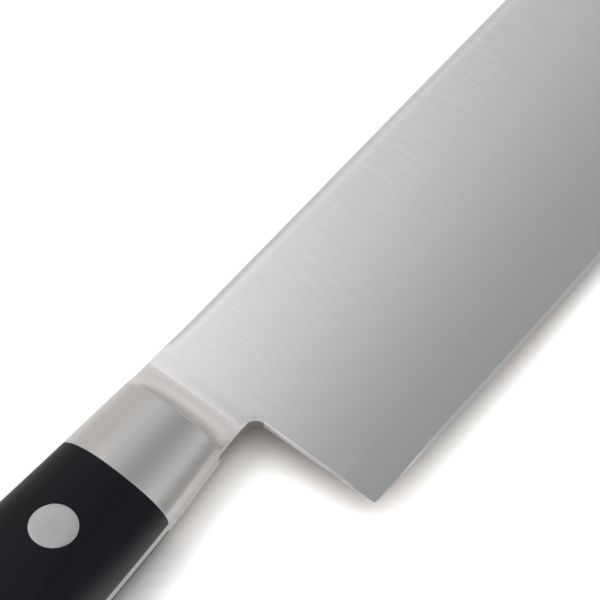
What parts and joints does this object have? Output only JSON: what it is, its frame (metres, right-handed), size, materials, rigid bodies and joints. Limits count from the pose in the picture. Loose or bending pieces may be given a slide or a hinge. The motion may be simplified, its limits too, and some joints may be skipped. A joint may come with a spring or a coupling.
{
  "type": "nakiri knife",
  "caption": "Nakiri kitchen knife: tall, square-nosed clad steel blade on a full tang, with welded bolsters and black riveted handle scales.",
  "frame": {"origin": "middle of the bounding box in plan, at the level of the handle's left side that the knife is laid on", "axes": "+X from the butt to the nose, +Y from the edge to the spine, +Z out of the blade's right face"},
  "size_m": [0.29, 0.0524, 0.0164],
  "materials": {
    "core_steel": "hard stainless core, satin ground, polished along the edge",
    "clad_steel": "stainless cladding, fine satin hairlines from spine to edge",
    "bolster_steel": "stainless, smooth polish",
    "rivet_steel": "stainless, ground flush, satin",
    "black_resin": "black resin laminate, smooth satin"
  },
  "bodies": {
    "root": {"blade_core": "core_steel", "cladding_right": "clad_steel", "cladding_left": "clad_steel", "bolster_right": "bolster_steel", "bolster_left": "bolster_steel", "scale_right": "black_resin", "scale_left": "black_resin", "rivet_front_sleeve": "rivet_steel", "rivet_front_pin": "rivet_steel", "rivet_middle_sleeve": "rivet_steel", "rivet_middle_pin": "rivet_steel", "rivet_rear_sleeve": "rivet_steel", "rivet_rear_pin": "rivet_steel"}
  },
  "joints": []
}
